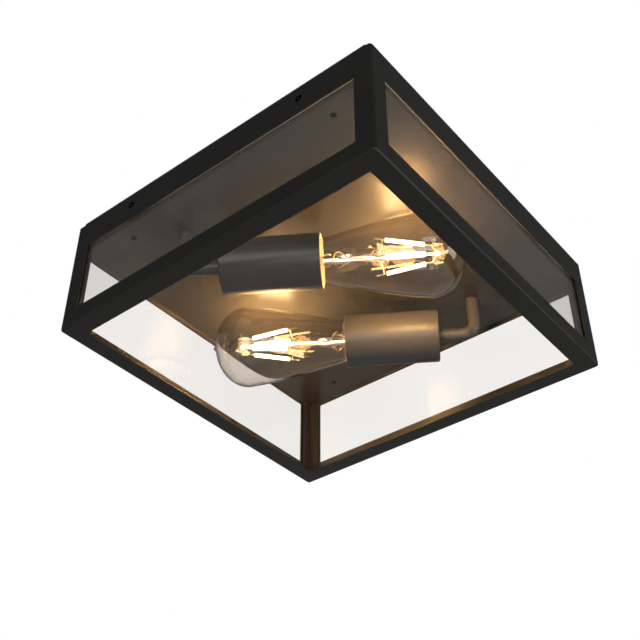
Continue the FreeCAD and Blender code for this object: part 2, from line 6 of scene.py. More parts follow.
import logging
import math
from dataclasses import dataclass
from enum import Enum

import bmesh
import bpy
import numpy as np
from mathutils import Matrix, Vector


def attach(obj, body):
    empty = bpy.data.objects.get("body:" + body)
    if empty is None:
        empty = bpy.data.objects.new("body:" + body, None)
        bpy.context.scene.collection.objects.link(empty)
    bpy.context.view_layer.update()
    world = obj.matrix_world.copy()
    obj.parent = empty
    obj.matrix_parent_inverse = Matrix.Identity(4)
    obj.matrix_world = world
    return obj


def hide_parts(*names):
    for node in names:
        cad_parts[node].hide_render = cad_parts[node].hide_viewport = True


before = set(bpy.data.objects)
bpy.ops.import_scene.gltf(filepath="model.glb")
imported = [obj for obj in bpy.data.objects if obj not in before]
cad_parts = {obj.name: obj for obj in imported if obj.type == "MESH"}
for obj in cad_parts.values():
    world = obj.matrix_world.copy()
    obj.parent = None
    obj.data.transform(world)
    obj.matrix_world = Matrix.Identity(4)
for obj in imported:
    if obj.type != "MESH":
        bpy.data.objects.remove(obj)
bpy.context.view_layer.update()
logging.basicConfig(level=logging.INFO, format="%(name)s: %(message)s")
log = logging.getLogger("lantern")

MM = 0.001
ROOT_BODY = "lantern"
SIDES = ("front", "right", "back", "left")
CORNERS = ("front_left", "front_right", "back_left", "back_right")
LAMP_NUMBERS = (1, 2)

Array = np.ndarray
# Points, and quads that name them by number.
Shape = tuple[Array, Array]
Rgb = tuple[float, float, float]
Point = tuple[float, float, float]
Socket = bpy.types.NodeSocket

# The stretch of a noise's values that is spread over a finish's whole range.
NOISE_SPAN = (0.15, 0.85)


# ---------------------------------------------------------------- surfaces
def softened(corners: Array, reach: float, steps: int = 4) -> Array:
    """Round every corner of a closed outline.

    Each corner P becomes a parabola from A to B, which lie a short way along its two edges:
    (1 - t)^2 A + 2 t (1 - t) P + t^2 B, for t from 0 to 1.

    Args:
        corners: the outline's corners, one row each.
        reach: how far from a corner its rounding starts, at most 0.45 of the edge.
        steps: pieces in each rounding.

    Returns:
        The points of the rounded outline in order.
    """
    before = np.roll(corners, 1, axis=0) - corners
    after = np.roll(corners, -1, axis=0) - corners
    length_before = np.linalg.norm(before, axis=1, keepdims=True)
    length_after = np.linalg.norm(after, axis=1, keepdims=True)
    start = corners + before / length_before * np.minimum(reach, 0.45 * length_before)
    end = corners + after / length_after * np.minimum(reach, 0.45 * length_after)
    t = np.linspace(0.0, 1.0, steps + 1)[None, :, None]
    curve = (1 - t) ** 2 * start[:, None] + 2 * t * (1 - t) * corners[:, None] + t**2 * end[:, None]
    return curve.reshape(-1, corners.shape[1])


def ring_faces(rows: int, columns: int, close_rows: bool = True) -> Array:
    """Quads of a grid whose columns wrap round, and whose rows do too if close_rows is set.

    Args:
        rows: rows of points.
        columns: points in each row.
        close_rows: join the last row to the first.

    Returns:
        One row of four point numbers for each quad.
    """
    i, j = np.meshgrid(np.arange(rows if close_rows else rows - 1), np.arange(columns), indexing="ij")
    i, j = i.ravel(), j.ravel()
    here, beyond, j_next = i * columns, (i + 1) % rows * columns, (j + 1) % columns
    return np.stack([here + j, here + j_next, beyond + j_next, beyond + j], axis=1)


def turned(profile: Array, segments: int) -> Shape:
    """Turn a closed half section about the X axis: a point (s, r) goes to (s, r cos a, r sin a).

    Args:
        profile: (distance along the axis, radius) points of the closed half section.
        segments: points round the axis.

    Returns:
        Points and quads.
    """
    angle = np.linspace(0.0, 2 * np.pi, segments, endpoint=False)
    s, r = profile[:, :1], profile[:, 1:]
    points = np.stack([s + 0 * angle, r * np.cos(angle), r * np.sin(angle)], axis=-1)
    return points.reshape(-1, 3), ring_faces(len(profile), segments)


def smooth_path(points: Array, count: int) -> Array:
    """A smooth line through points: between neighbours P1 and P2 it is the cubic Catmull-Rom blend
    of P0, P1, P2 and P3, weighted by powers of the way t from P1 to P2.

    Args:
        points: the points that the line passes through.
        count: points on the finished line.

    Returns:
        The finished line's points.
    """
    padded = np.vstack([2 * points[:1] - points[1:2], points, 2 * points[-1:] - points[-2:-1]])
    u = np.linspace(0.0, len(points) - 1, count)
    k = np.minimum(u.astype(int), len(points) - 2)
    t = (u - k)[:, None]
    p0, p1, p2, p3 = (padded[k + i] for i in range(4))
    return 0.5 * (
        2 * p1 + (p2 - p0) * t + (2 * p0 - 5 * p1 + 4 * p2 - p3) * t**2 + (3 * p1 - p0 - 3 * p2 + p3) * t**3
    )


def across(path: Array) -> tuple[Array, Array]:
    """Two directions square to a path at each of its points, made from one steady side direction.

    Args:
        path: points along the path.

    Returns:
        Two arrays of unit vectors.
    """
    run = np.gradient(path, axis=0)
    run /= np.linalg.norm(run, axis=1, keepdims=True)
    overall = path[-1] - path[0]
    steady = np.eye(3)[np.argmin(np.abs(overall))]
    first = np.cross(run, steady)
    first /= np.linalg.norm(first, axis=1, keepdims=True)
    return first, np.cross(run, first)


def tube(
    path: Array, radius: Array | float, segments: int = 12, sides: tuple[Array, Array] | None = None
) -> Shape:
    """Carry a circle along a path and close both ends: P + r (cos a N + sin a B), N and B square to the path.

    Args:
        path: centre line.
        radius: one radius, or one for each point of the path.
        segments: points round the tube.
        sides: N and B at each point, if they aren't to be worked out from a steady side direction.

    Returns:
        Points and quads.
    """
    path = np.vstack([path[:1], path, path[-1:]])
    radii = np.concatenate([[0.0], np.broadcast_to(radius, len(path) - 2), [0.0]])[:, None, None]
    lines = path[1:-1]
    first, second = (np.vstack([v[:1], v, v[-1:]])[:, None] for v in sides or across(lines))
    angle = np.linspace(0.0, 2 * np.pi, segments, endpoint=False)[None, :, None]
    points = path[:, None] + radii * (np.cos(angle) * first + np.sin(angle) * second)
    return points.reshape(-1, 3), ring_faces(len(path), segments, close_rows=False)


def joined(parts: list[Shape]) -> Shape:
    """Put several sets of points and quads together in one.

    Args:
        parts: the sets.

    Returns:
        Points and quads.
    """
    starts = np.cumsum([0] + [len(points) for points, _ in parts[:-1]])
    return np.vstack([p for p, _ in parts]), np.vstack([f + n for (_, f), n in zip(parts, starts)])


@dataclass(frozen=True)
class Place:
    """A turn about the vertical and a shift before it, from a lamp's own axis to the lantern's frame."""

    shift: Point = (0.0, 0.0, 0.0)
    azimuth: float = 0.0

    def apply(self, points: Array) -> Array:
        """Shift points and turn them about +Z by the azimuth in degrees.

        Args:
            points: points in the lamp's own frame.

        Returns:
            The points in the lantern's frame.
        """
        a = math.radians(self.azimuth)
        turn = np.array([[math.cos(a), -math.sin(a), 0.0], [math.sin(a), math.cos(a), 0.0], [0.0, 0.0, 1.0]])
        return (points + np.array(self.shift)) @ turn.T


HERE = Place()
# A lamp's own axis, from the arm to the bulb's tip.
AXIS = np.array([1.0, 0.0, 0.0])
MERGE_DISTANCE = 0.0002 * MM
BEVEL_STEPS = 2


def piece(
    name: str,
    shape: Shape,
    material: bpy.types.Material,
    body: str = ROOT_BODY,
    replaced: tuple[str, ...] = (),
    place: Place = HERE,
    crease: float = 35.0,
    bevel: float = 0.0,
    bare_and_lit: Array | None = None,
) -> bpy.types.Object:
    """Make one finished piece of the lantern.

    Args:
        name: the piece's name.
        shape: points and quads.
        material: its finish.
        body: the body it rides on.
        replaced: CAD nodes that it stands for.
        place: where it goes.
        crease: edges that bend by more than this many degrees stay sharp.
        bevel: width of a small bevel on the sharp edges.
        bare_and_lit: for each point, 1 where the inner wall is pale, raw metal with painted bulb light, and 0
            elsewhere.

    Returns:
        The new object.
    """
    points, quads = shape
    mesh = bpy.data.meshes.new(name)
    mesh.from_pydata(place.apply(points).tolist(), [], quads.tolist())
    if bare_and_lit is not None:
        mesh.attributes.new("bare_and_lit", "FLOAT", "POINT").data.foreach_set("value", bare_and_lit.astype(np.float32))
    work = bmesh.new()
    work.from_mesh(mesh)
    bmesh.ops.remove_doubles(work, verts=work.verts, dist=MERGE_DISTANCE)
    bmesh.ops.recalc_face_normals(work, faces=work.faces)
    work.to_mesh(mesh)
    work.free()
    mesh.shade_smooth()
    mesh.set_sharp_from_angle(angle=math.radians(crease))
    mesh.materials.append(material)
    made = bpy.data.objects.new(name, mesh)
    bpy.context.scene.collection.objects.link(made)
    if bevel:
        edge = made.modifiers.new("edge", "BEVEL")
        edge.width = bevel
        edge.segments = BEVEL_STEPS
        edge.angle_limit = math.radians(crease)
    flat = made.modifiers.new("flat_faces", "WEIGHTED_NORMAL")
    flat.keep_sharp = not bevel
    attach(made, body)
    if replaced:
        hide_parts(*replaced)
    log.info("%s: %d points on %s", name, len(mesh.vertices), body)
    return made


# ---------------------------------------------------------------- finishes
class NodeSheet:
    """A short way to place and join shader nodes in one node tree."""

    def __init__(self, tree: bpy.types.NodeTree) -> None:
        """Keep the tree."""
        self.tree = tree

    def add(self, kind: str, **settings: object) -> bpy.types.Node:
        """Place a node and set its properties.

        Args:
            kind: the node's type name.
            settings: its properties.

        Returns:
            The node.
        """
        node = self.tree.nodes.new(kind)
        for key, value in settings.items():
            setattr(node, key, value)
        return node

    def join(self, output: Socket, target: Socket) -> None:
        """Join an output to an input."""
        self.tree.links.new(output, target)

    def noise(self, where: Socket, scale: float, detail: float) -> Socket:
        """A noise value on the given coordinates.

        Args:
            where: the coordinates.
            scale: features per metre.
            detail: octaves.

        Returns:
            The noise's value socket.
        """
        node = self.add("ShaderNodeTexNoise")
        node.inputs["Scale"].default_value = scale
        node.inputs["Detail"].default_value = detail
        self.join(where, node.inputs["Vector"])
        return node.outputs["Fac"]

    def spread(
        self, value: Socket, low: float, high: float, to_low: float = 0.0, to_high: float = 1.0
    ) -> Socket:
        """Map a value from one range to another, clamped.

        Args:
            value: what is mapped.
            low: start of its range.
            high: end of its range.
            to_low: what low becomes.
            to_high: what high becomes.

        Returns:
            The mapped value.
        """
        node = self.add("ShaderNodeMapRange")
        for key, number in (("From Min", low), ("From Max", high), ("To Min", to_low), ("To Max", to_high)):
            node.inputs[key].default_value = number
        self.join(value, node.inputs["Value"])
        return node.outputs["Result"]

    def blend(self, share: Socket, first: Rgb, second: Rgb) -> Socket:
        """A colour between two, by a share from 0 to 1."""
        return self.mixed("RGBA", share, (*first, 1.0), (*second, 1.0))

    def choose(self, share: Socket, first: Socket | float, second: Socket | float) -> Socket:
        """A number between two, by a share from 0 to 1."""
        return self.mixed("FLOAT", share, first, second)

    def mixed(self, data_type: str, share: Socket, first: object, second: object) -> Socket:
        """Mix two colours or two numbers, each a socket or a constant.

        Args:
            data_type: RGBA or FLOAT.
            share: 0 for the first, 1 for the second.
            first: what share 0 gives.
            second: what share 1 gives.

        Returns:
            The mixed value.
        """
        node = self.add("ShaderNodeMix", data_type=data_type)
        self.join(share, node.inputs["Factor"])
        for key, value in (("A", first), ("B", second)):
            if isinstance(value, Socket):
                self.join(value, node.inputs[key])
            else:
                node.inputs[key].default_value = value
        return node.outputs["Result"]

    def bump(self, height: Socket, depth: float) -> Socket:
        """A normal from a height.

        Args:
            height: the height, from 0 to 1.
            depth: how deep 1 is, in metres.

        Returns:
            The normal.
        """
        node = self.add("ShaderNodeBump")
        node.inputs["Distance"].default_value = depth
        self.join(height, node.inputs["Height"])
        return node.outputs["Normal"]

    def surface(self, share: Socket, first: bpy.types.Node, second: bpy.types.Node) -> None:
        """Let a material's surface be one shader where the share is 0 and another where it is 1.

        Args:
            share: the share of the second.
            first: the first shader.
            second: the second shader.
        """
        mix = self.add("ShaderNodeMixShader")
        self.join(share, mix.inputs["Fac"])
        self.join(first.outputs["BSDF"], mix.inputs[1])
        self.join(second.outputs["BSDF"], mix.inputs[2])
        self.join(mix.outputs["Shader"], self.tree.nodes["Material Output"].inputs["Surface"])


def group_sheet(
    name: str, outputs: tuple[str, ...], inputs: dict[str, float]
) -> tuple[bpy.types.NodeTree, NodeSheet]:
    """Start a shader node group that takes coordinates and numbers and puts out values.

    Args:
        name: the group's name.
        outputs: names of its value outputs.
        inputs: names and default values of its number inputs.

    Returns:
        The group and its sheet. Its input node is named "in" and its output node "out".
    """
    tree = bpy.data.node_groups.new(name, "ShaderNodeTree")
    tree.interface.new_socket("Vector", in_out="INPUT", socket_type="NodeSocketVector")
    for key, value in inputs.items():
        tree.interface.new_socket(key, in_out="INPUT", socket_type="NodeSocketFloat").default_value = value
    for key in outputs:
        tree.interface.new_socket(key, in_out="OUTPUT", socket_type="NodeSocketFloat")
    sheet = NodeSheet(tree)
    sheet.add("NodeGroupInput", name="in")
    sheet.add("NodeGroupOutput", name="out")
    return tree, sheet


def grain_group(slow_scale: float = 22.0) -> bpy.types.NodeTree:
    """The fine orange-peel grain of a baked powder coat, with slow changes of shade under it.

    Args:
        slow_scale: changes of shade per metre.

    Returns:
        A group with outputs Grain (height) and Shade (slow change).
    """
    tree, sheet = group_sheet("coat_grain", ("Grain", "Shade"), {"Scale": 1600.0})
    source, sink = tree.nodes["in"], tree.nodes["out"]
    fine = sheet.add("ShaderNodeTexNoise")
    fine.inputs["Detail"].default_value = 3.0
    sheet.join(source.outputs["Vector"], fine.inputs["Vector"])
    sheet.join(source.outputs["Scale"], fine.inputs["Scale"])
    sheet.join(fine.outputs["Fac"], sink.inputs["Grain"])
    sheet.join(sheet.noise(source.outputs["Vector"], slow_scale, 4.0), sink.inputs["Shade"])
    return tree


# The metallic share of raw and plated metal.
METAL = 1.0


@dataclass(frozen=True)
class Metal:
    """A hard surface, raw, plated, coated or moulded, whose shade, roughness and grain change over it."""

    name: str
    dark: Rgb
    light: Rgb
    smooth: float
    rough: float
    metallic: float = 0.0
    specular: float = 0.5
    scale: float = 1600.0
    depth: float = 0.00002
    # Pale tone of a raw inner wall; its warmth is painted light from the bulb.
    bare_and_lit: Rgb | None = None
    painted_glow: float = 0.0

    def material(self, grain: bpy.types.NodeTree) -> bpy.types.Material:
        """Build the finish.

        Args:
            grain: the shared grain group.

        Returns:
            The material.
        """
        made, sheet, shader = new_material(self.name)
        where = sheet.add("ShaderNodeTexCoord").outputs["Object"]
        coat = sheet.add("ShaderNodeGroup", node_tree=grain)
        coat.inputs["Scale"].default_value = self.scale
        sheet.join(where, coat.inputs["Vector"])
        shade = sheet.spread(coat.outputs["Shade"], *NOISE_SPAN)
        colour = sheet.blend(shade, self.dark, self.light)
        # The inner wall turns pale: raw metal, with painted bulb light in its warm tone.
        if self.bare_and_lit:
            bare_and_lit_share = sheet.add("ShaderNodeAttribute", attribute_name="bare_and_lit").outputs["Fac"]
            colour = sheet.mixed("RGBA", bare_and_lit_share, colour, (*self.bare_and_lit, 1.0))
        sheet.join(colour, shader.inputs["Base Color"])
        polish = sheet.spread(coat.outputs["Shade"], *NOISE_SPAN, self.smooth, self.rough)
        sheet.join(polish, shader.inputs["Roughness"])
        shader.inputs["Metallic"].default_value = self.metallic
        shader.inputs["Specular IOR Level"].default_value = self.specular
        sheet.join(sheet.bump(coat.outputs["Grain"], self.depth), shader.inputs["Normal"])
        # Emission painted into the surface, for a part that is no lamp.
        if self.painted_glow:
            shader.inputs["Emission Color"].default_value = (*self.light, 1.0)
            shader.inputs["Emission Strength"].default_value = self.painted_glow
        return made


def new_material(name: str) -> tuple[bpy.types.Material, NodeSheet, bpy.types.Node]:
    """Start a material.

    Args:
        name: its name.

    Returns:
        The material, its sheet and its Principled shader.
    """
    made = bpy.data.materials.new(name)
    made.use_nodes = True
    sheet = NodeSheet(made.node_tree)
    return made, sheet, made.node_tree.nodes["Principled BSDF"]


@dataclass(frozen=True)
class Glass:
    """Clear glass with faint streaks, which lets lamps shine straight through it."""

    name: str
    colour: Rgb
    index: float
    passing: Rgb
    streak: float = 0.985
    streak_scale: float = 35.0

    def material(self) -> bpy.types.Material:
        """Build the finish.

        Returns:
            The material.
        """
        made, sheet, shader = new_material(self.name)
        shader.inputs["Transmission Weight"].default_value = 1.0
        shader.inputs["Roughness"].default_value = 0.0
        shader.inputs["IOR"].default_value = self.index
        where = sheet.add("ShaderNodeTexCoord").outputs["Object"]
        share = sheet.spread(sheet.noise(where, self.streak_scale, 3.0), 0.3, 0.7)
        streaked = tuple(self.streak * part for part in self.colour)
        sheet.join(sheet.blend(share, self.colour, streaked), shader.inputs["Base Color"])
        clear = sheet.add("ShaderNodeBsdfTransparent")
        clear.inputs["Color"].default_value = (*self.passing, 1.0)
        shadow = sheet.add("ShaderNodeLightPath").outputs["Is Shadow Ray"]
        sheet.surface(shadow, shader, clear)
        return made


@dataclass(frozen=True)
class Glow:
    """The phosphor coat of a lit filament, a little uneven along its length."""

    name: str
    colour: Rgb
    hot: Rgb
    strength: float
    bead_scale: float = 400.0
    matt: float = 0.6

    def material(self) -> bpy.types.Material:
        """Build the finish.

        Returns:
            The material.
        """
        made, sheet, shader = new_material(self.name)
        where = sheet.add("ShaderNodeTexCoord").outputs["Object"]
        beads = sheet.spread(sheet.noise(where, self.bead_scale, 2.0), 0.35, 0.65)
        shader.inputs["Base Color"].default_value = (*self.colour, 1.0)
        shader.inputs["Roughness"].default_value = self.matt
        sheet.join(sheet.blend(beads, self.colour, self.hot), shader.inputs["Emission Color"])
        shader.inputs["Emission Strength"].default_value = self.strength
        return made


class Finish(Enum):
    """The finishes of the lantern's own pieces."""

    CAGE_COAT = Metal(
        "cage_coat", (0.0075, 0.0071, 0.0066), (0.012, 0.0114, 0.0106), 0.36, 0.46, specular=0.27
    )
    TRAY_COAT = Metal(
        "tray_coat", (0.019, 0.0184, 0.0175), (0.03, 0.0289, 0.0274), 0.2, 0.3, specular=0.58, depth=0.00003
    )
    # Inside the sleeve: raw metal in a pale warm tone that is painted light from the bulb.
    SLEEVE_COAT = Metal(
        "sleeve_coat", (0.04, 0.0385, 0.0365), (0.052, 0.05, 0.0475), 0.29, 0.37, specular=0.4,
        bare_and_lit=(0.75, 0.66, 0.5),
    )
    ZINC = Metal("zinc_plate", (0.45, 0.45, 0.43), (0.62, 0.62, 0.6), 0.22, 0.4, METAL, scale=700.0)
    BRASS = Metal("drawn_brass", (0.55, 0.38, 0.16), (0.72, 0.53, 0.26), 0.2, 0.35, METAL, scale=900.0)
    NICKEL = Metal("nickel_plate", (0.5, 0.46, 0.38), (0.66, 0.62, 0.54), 0.16, 0.3, METAL, scale=900.0)
    WIRE = Metal("support_wire", (0.5, 0.42, 0.3), (0.66, 0.58, 0.44), 0.2, 0.32, METAL, scale=1200.0)
    HOLDER = Metal(
        "holder_moulding", (0.014, 0.013, 0.012), (0.022, 0.021, 0.02), 0.42, 0.6, specular=0.4, scale=2400.0
    )
    TERMINAL = Metal("terminal_moulding", (0.6, 0.59, 0.54), (0.74, 0.73, 0.68), 0.4, 0.55, scale=2400.0)
    INSULATOR = Metal("cap_insulator", (0.01, 0.01, 0.016), (0.02, 0.02, 0.03), 0.1, 0.2, scale=500.0)
    PANE = Glass("clear_pane", (0.955, 0.94, 0.915), 1.5, (0.97, 0.97, 0.96))
    BULB = Glass("bulb_glass", (0.885, 0.85, 0.805), 1.47, (0.92, 0.89, 0.86))
    STEM = Glass("stem_glass", (0.97, 0.95, 0.92), 1.5, (0.97, 0.97, 0.96))
    # The rod and hub bead give off light: painted light, standing in for the filaments' light carried in the
    # glass.
    BEAD = Metal(
        "bead_glass", (0.8, 0.8, 0.82), (0.92, 0.92, 0.95), 0.05, 0.1, specular=0.8, depth=0.0, painted_glow=1.2
    )
    FILAMENT = Glow("lit_filament", (1.0, 0.66, 0.26), (1.0, 0.84, 0.52), 75.0)


class Workshop:
    """Builds each finish once and hands it out."""

    def __init__(self) -> None:
        """Build the shared grain and start with no finishes."""
        self.grain = grain_group()
        self.made: dict[Finish, bpy.types.Material] = {}

    def finish(self, kind: Finish) -> bpy.types.Material:
        """The material of a finish, built the first time it is asked for.

        Args:
            kind: the finish.

        Returns:
            Its material.
        """
        if kind not in self.made:
            recipe = kind.value
            self.made[kind] = recipe.material(self.grain) if isinstance(recipe, Metal) else recipe.material()
        return self.made[kind]

    def dress(self, kind: Finish, *nodes: str) -> None:
        """Give CAD nodes that stay a finish.

        Args:
            kind: the finish.
            nodes: the nodes' names.
        """
        for node in nodes:
            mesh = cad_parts[node].data
            mesh.materials.clear()
            mesh.materials.append(self.finish(kind))
            log.info("%s dressed with %s", node, kind.name)


# ---------------------------------------------------------------- cage
@dataclass
class Cage:
    """The welded cage: a square tube of folded sheet with a floor flange and a window in each side."""

    half: float = 140 * MM
    top: float = -3.5 * MM
    bottom: float = -102.5 * MM
    sheet: float = 1.2 * MM
    corner: float = 2.5 * MM
    foot: float = 1.6 * MM
    window_half: float = 125.5 * MM
    window_top: float = -28 * MM
    window_bottom: float = -87.5 * MM
    flange: float = 14 * MM
    edge: float = 0.25 * MM
    least_radius: float = 0.1 * MM
    foot_points: int = 7
    corner_points: int = 9

    def section(self) -> tuple[Array, list[int]]:
        """The wall's section as (inset from the outer face, height) rows, round from the top outside.

        Returns:
            The rows, and the numbers of the outer and inner rows at the window's top and bottom.
        """
        turn = np.linspace(0.0, np.pi / 2, self.foot_points)[1:-1]
        foot = [0.0, self.bottom] + self.foot * (1 - np.stack([np.cos(turn), np.sin(turn)], axis=1))
        floor = self.bottom + self.sheet
        outside = [(0, z) for z in (self.top, self.window_top, self.window_bottom, self.bottom + self.foot)]
        under = [(self.foot, self.bottom), (self.flange, self.bottom), (self.flange, floor)]
        inside = [(self.sheet, z) for z in (floor, self.window_bottom, self.window_top, self.top)]
        rows = np.vstack([outside, foot, under, inside])
        return rows, [1, 2, len(rows) - 3, len(rows) - 2]

    def ring(self, inset: Array) -> tuple[Array, Array]:
        """Rounded squares in plan, one for each inset: straight sides with the window's edges marked,
        and quarter circles at the corners whose radius shrinks with the inset.

        Args:
            inset: how far each ring lies inside the outer face.

        Returns:
            Plan points (rings, columns, 2), and the numbers of the columns where each window starts.
        """
        turn = np.linspace(0.0, np.pi / 2, self.corner_points)
        radius = np.maximum(self.corner - inset, self.least_radius)[:, None]
        centre = self.half - inset[:, None] - radius
        side = self.half - inset[:, None] + 0 * turn[None, :2]
        along = np.array([[-self.window_half, self.window_half]]) + 0 * side
        straight = np.stack([side, along], axis=-1)
        arc = np.stack([centre + radius * np.cos(turn), centre + radius * np.sin(turn)], axis=-1)
        quarter = np.concatenate([straight, arc], axis=1)
        turns = [np.array([[c, s], [-s, c]]) for c, s in ((1, 0), (0, 1), (-1, 0), (0, -1))]
        plan = np.concatenate([quarter @ turn_by for turn_by in turns], axis=1)
        return plan, np.arange(4) * quarter.shape[1]

    def shape(self) -> Shape:
        """The section's rows carried round the plan's rings, with each window's cells left out and its cut
        edge closed.

        Returns:
            Points and quads.
        """
        rows, marks = self.section()
        plan, starts = self.ring(rows[:, 0])
        count, columns = plan.shape[:2]
        heights = np.broadcast_to(rows[:, 1][:, None, None], (count, columns, 1))
        points = np.concatenate([plan, heights], axis=-1).reshape(-1, 3)
        quads = ring_faces(count, columns)
        row, column = quads[:, 0] // columns, quads[:, 0] % columns
        cut = np.isin(row, [marks[0], marks[2]]) & np.isin(column, starts)
        outer_top, outer_bottom, inner_bottom, inner_top = (m * columns + starts for m in marks)
        edges = [
            [outer_top, outer_top + 1, inner_top + 1, inner_top],
            [outer_bottom + 1, outer_bottom, inner_bottom, inner_bottom + 1],
            [outer_bottom, outer_top, inner_top, inner_bottom],
            [outer_top + 1, outer_bottom + 1, inner_bottom + 1, inner_top + 1],
        ]
        return points, np.vstack([quads[~cut]] + [np.stack(e, axis=1) for e in edges])

    def build(self, shop: Workshop) -> None:
        """Make the cage and dress its screws.

        Args:
            shop: where the finishes come from.
        """
        nodes = [f"cage_top_band_{s}" for s in SIDES] + [f"cage_bottom_rail_{s}" for s in SIDES]
        nodes += [f"cage_post_{c}" for c in CORNERS]
        coat = shop.finish(Finish.CAGE_COAT)
        piece("cage", self.shape(), coat, replaced=tuple(nodes), bevel=self.edge)
        shop.dress(Finish.CAGE_COAT, "cage_side_screws")


# ---------------------------------------------------------------- tray, panes and wiring
@dataclass
class Tray:
    """The ceiling tray with what is screwed or clinched to it."""

    plated: tuple[str, ...] = (
        "tray_clinch_nuts", "arm_washers", "arm_lock_nuts", "terminal_screws", "earth_stud",
        "earth_nut_and_washer",
    )

    def build(self, shop: Workshop) -> None:
        """Dress the tray and its fasteners.

        Args:
            shop: where the finishes come from.
        """
        shop.dress(Finish.TRAY_COAT, "ceiling_tray")
        shop.dress(Finish.ZINC, *self.plated)
        shop.dress(Finish.TERMINAL, "terminal_block")


@dataclass
class Glazing:
    """The four panes and the angle strips that keep them in."""

    panes: tuple[str, ...] = tuple(f"glass_pane_{side}" for side in SIDES)
    guides: tuple[str, ...] = tuple(f"pane_guide_{corner}" for corner in CORNERS)

    def build(self, shop: Workshop) -> None:
        """Dress the panes and their guides.

        Args:
            shop: where the finishes come from.
        """
        shop.dress(Finish.PANE, *self.panes)
        shop.dress(Finish.CAGE_COAT, *self.guides)


# ---------------------------------------------------------------- lamps
Stations = tuple[tuple[float, ...], ...]


@dataclass
class Lamp:
    """One lamp, along its own axis: s = 0 at the sleeve's mouth, negative towards the arm."""

    number: int
    azimuth: float = -56.8
    offset: float = 48.5 * MM
    drop: float = 59 * MM
    setback: float = 4.8 * MM

    def place(self) -> Place:
        """The lamp's place under the tray. Lamp 2 is lamp 1 turned half round."""
        return Place((-self.setback, -self.offset, -self.drop), self.azimuth + 180.0 * (self.number - 1))

    def named(self, stem: str) -> str:
        """A node's name for this lamp."""
        return f"{stem}_{self.number}"


